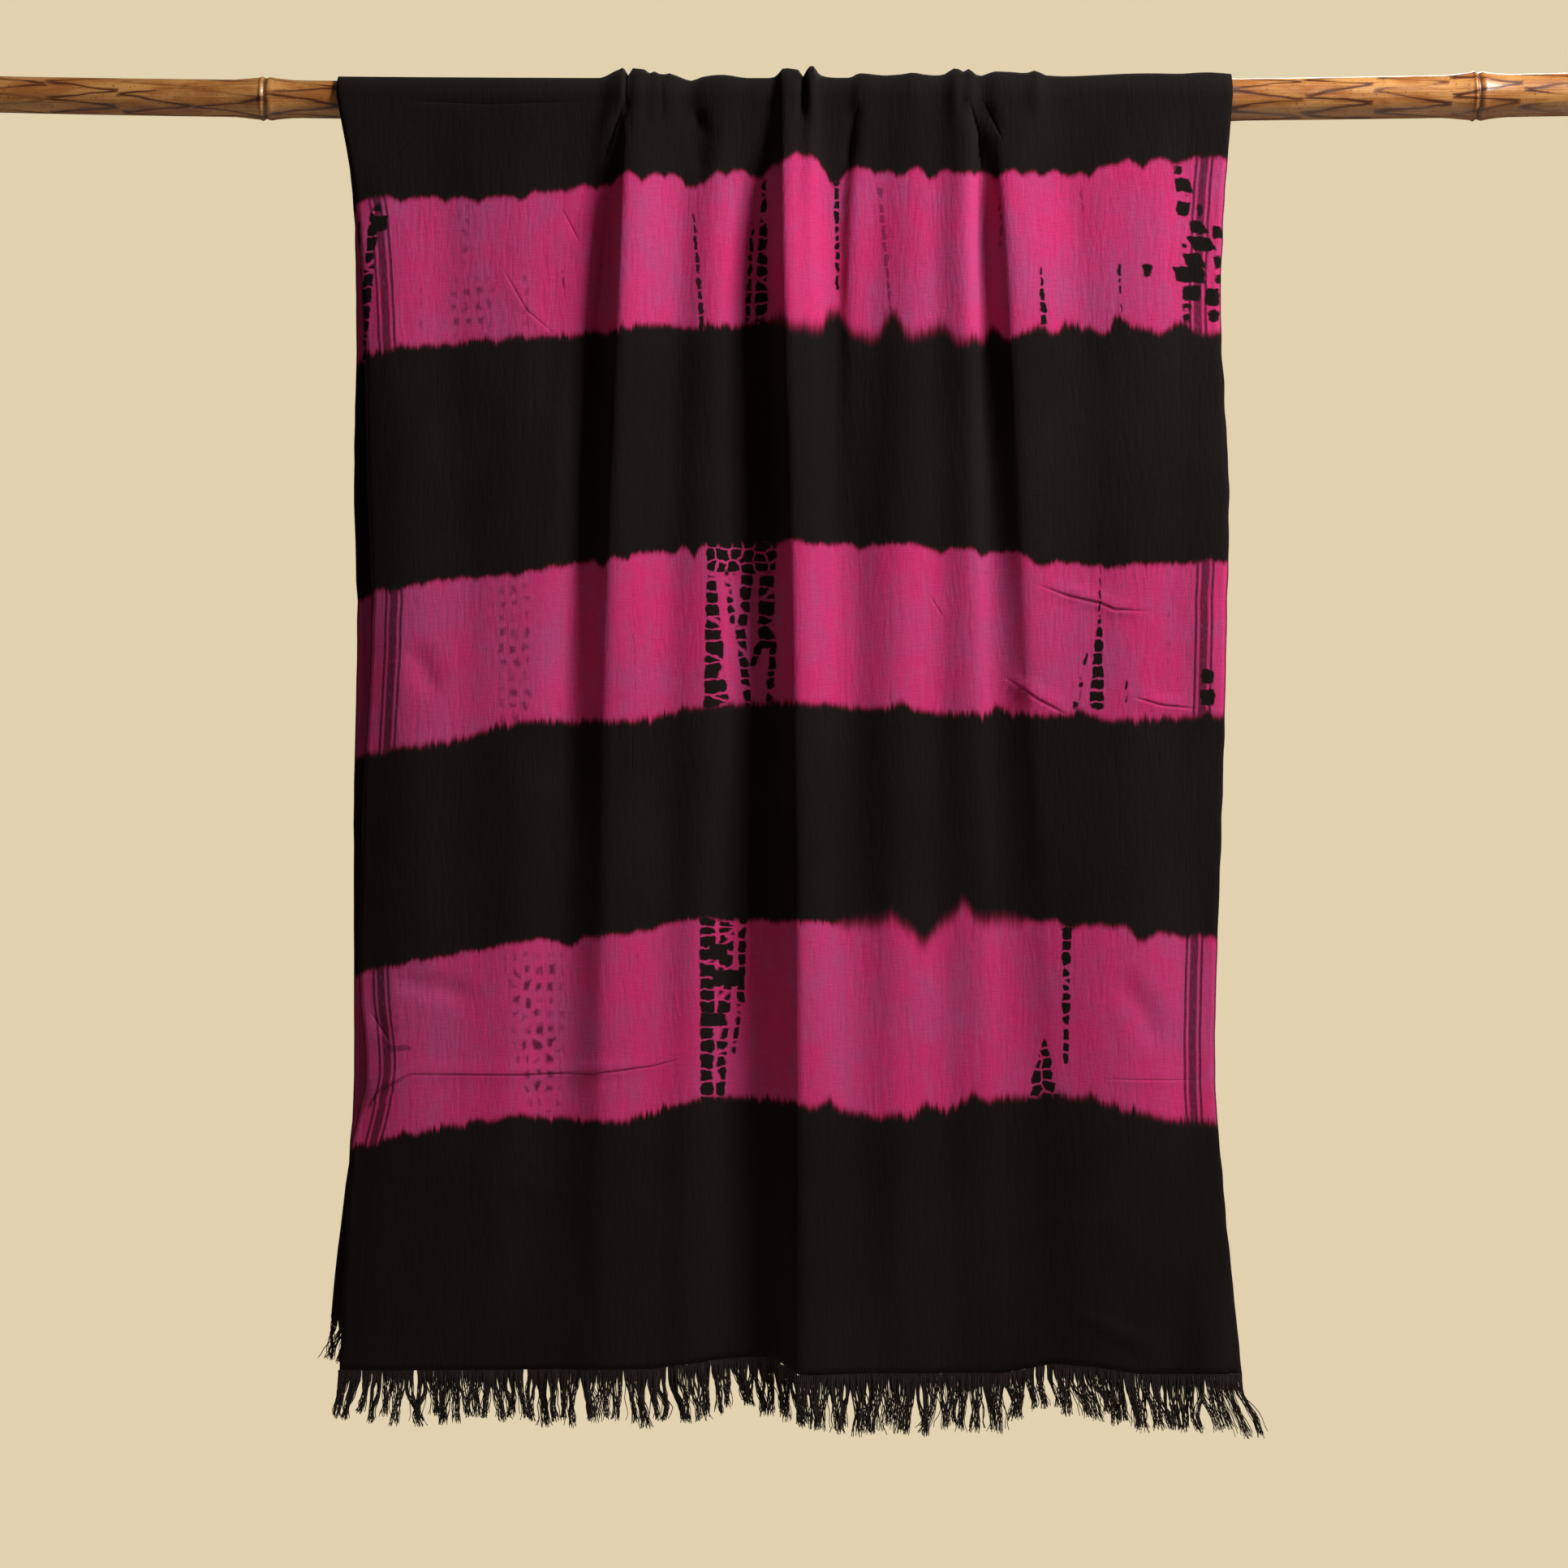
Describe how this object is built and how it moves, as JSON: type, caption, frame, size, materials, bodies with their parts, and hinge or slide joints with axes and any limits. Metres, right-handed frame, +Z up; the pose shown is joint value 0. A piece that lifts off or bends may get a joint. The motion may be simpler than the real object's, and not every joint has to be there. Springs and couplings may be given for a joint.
{
  "type": "shibori dyed cloth on a bamboo rod",
  "caption": "Long black cotton cloth with magenta resist-dyed bands and fringed ends, doubled over a bamboo rod in soft hanging folds.",
  "frame": {"origin": "on the rod's axis at the middle of its length, where the rod is held", "axes": "+X along the rod, to the right seen from the front; +Y from the front drop to the back drop; +Z up"},
  "size_m": [1.52, 0.0886, 1.2619],
  "materials": {
    "dyed_cotton": "matte plain weave, black with magenta resist-dyed bands",
    "fringe_yarn": "matte black cotton yarn",
    "bamboo": "varnished bamboo with scorched marks"
  },
  "bodies": {
    "root": {"dyed_cloth": "dyed_cotton", "front_fringe": "fringe_yarn", "back_fringe": "fringe_yarn", "bamboo_rod": "bamboo"}
  },
  "joints": []
}
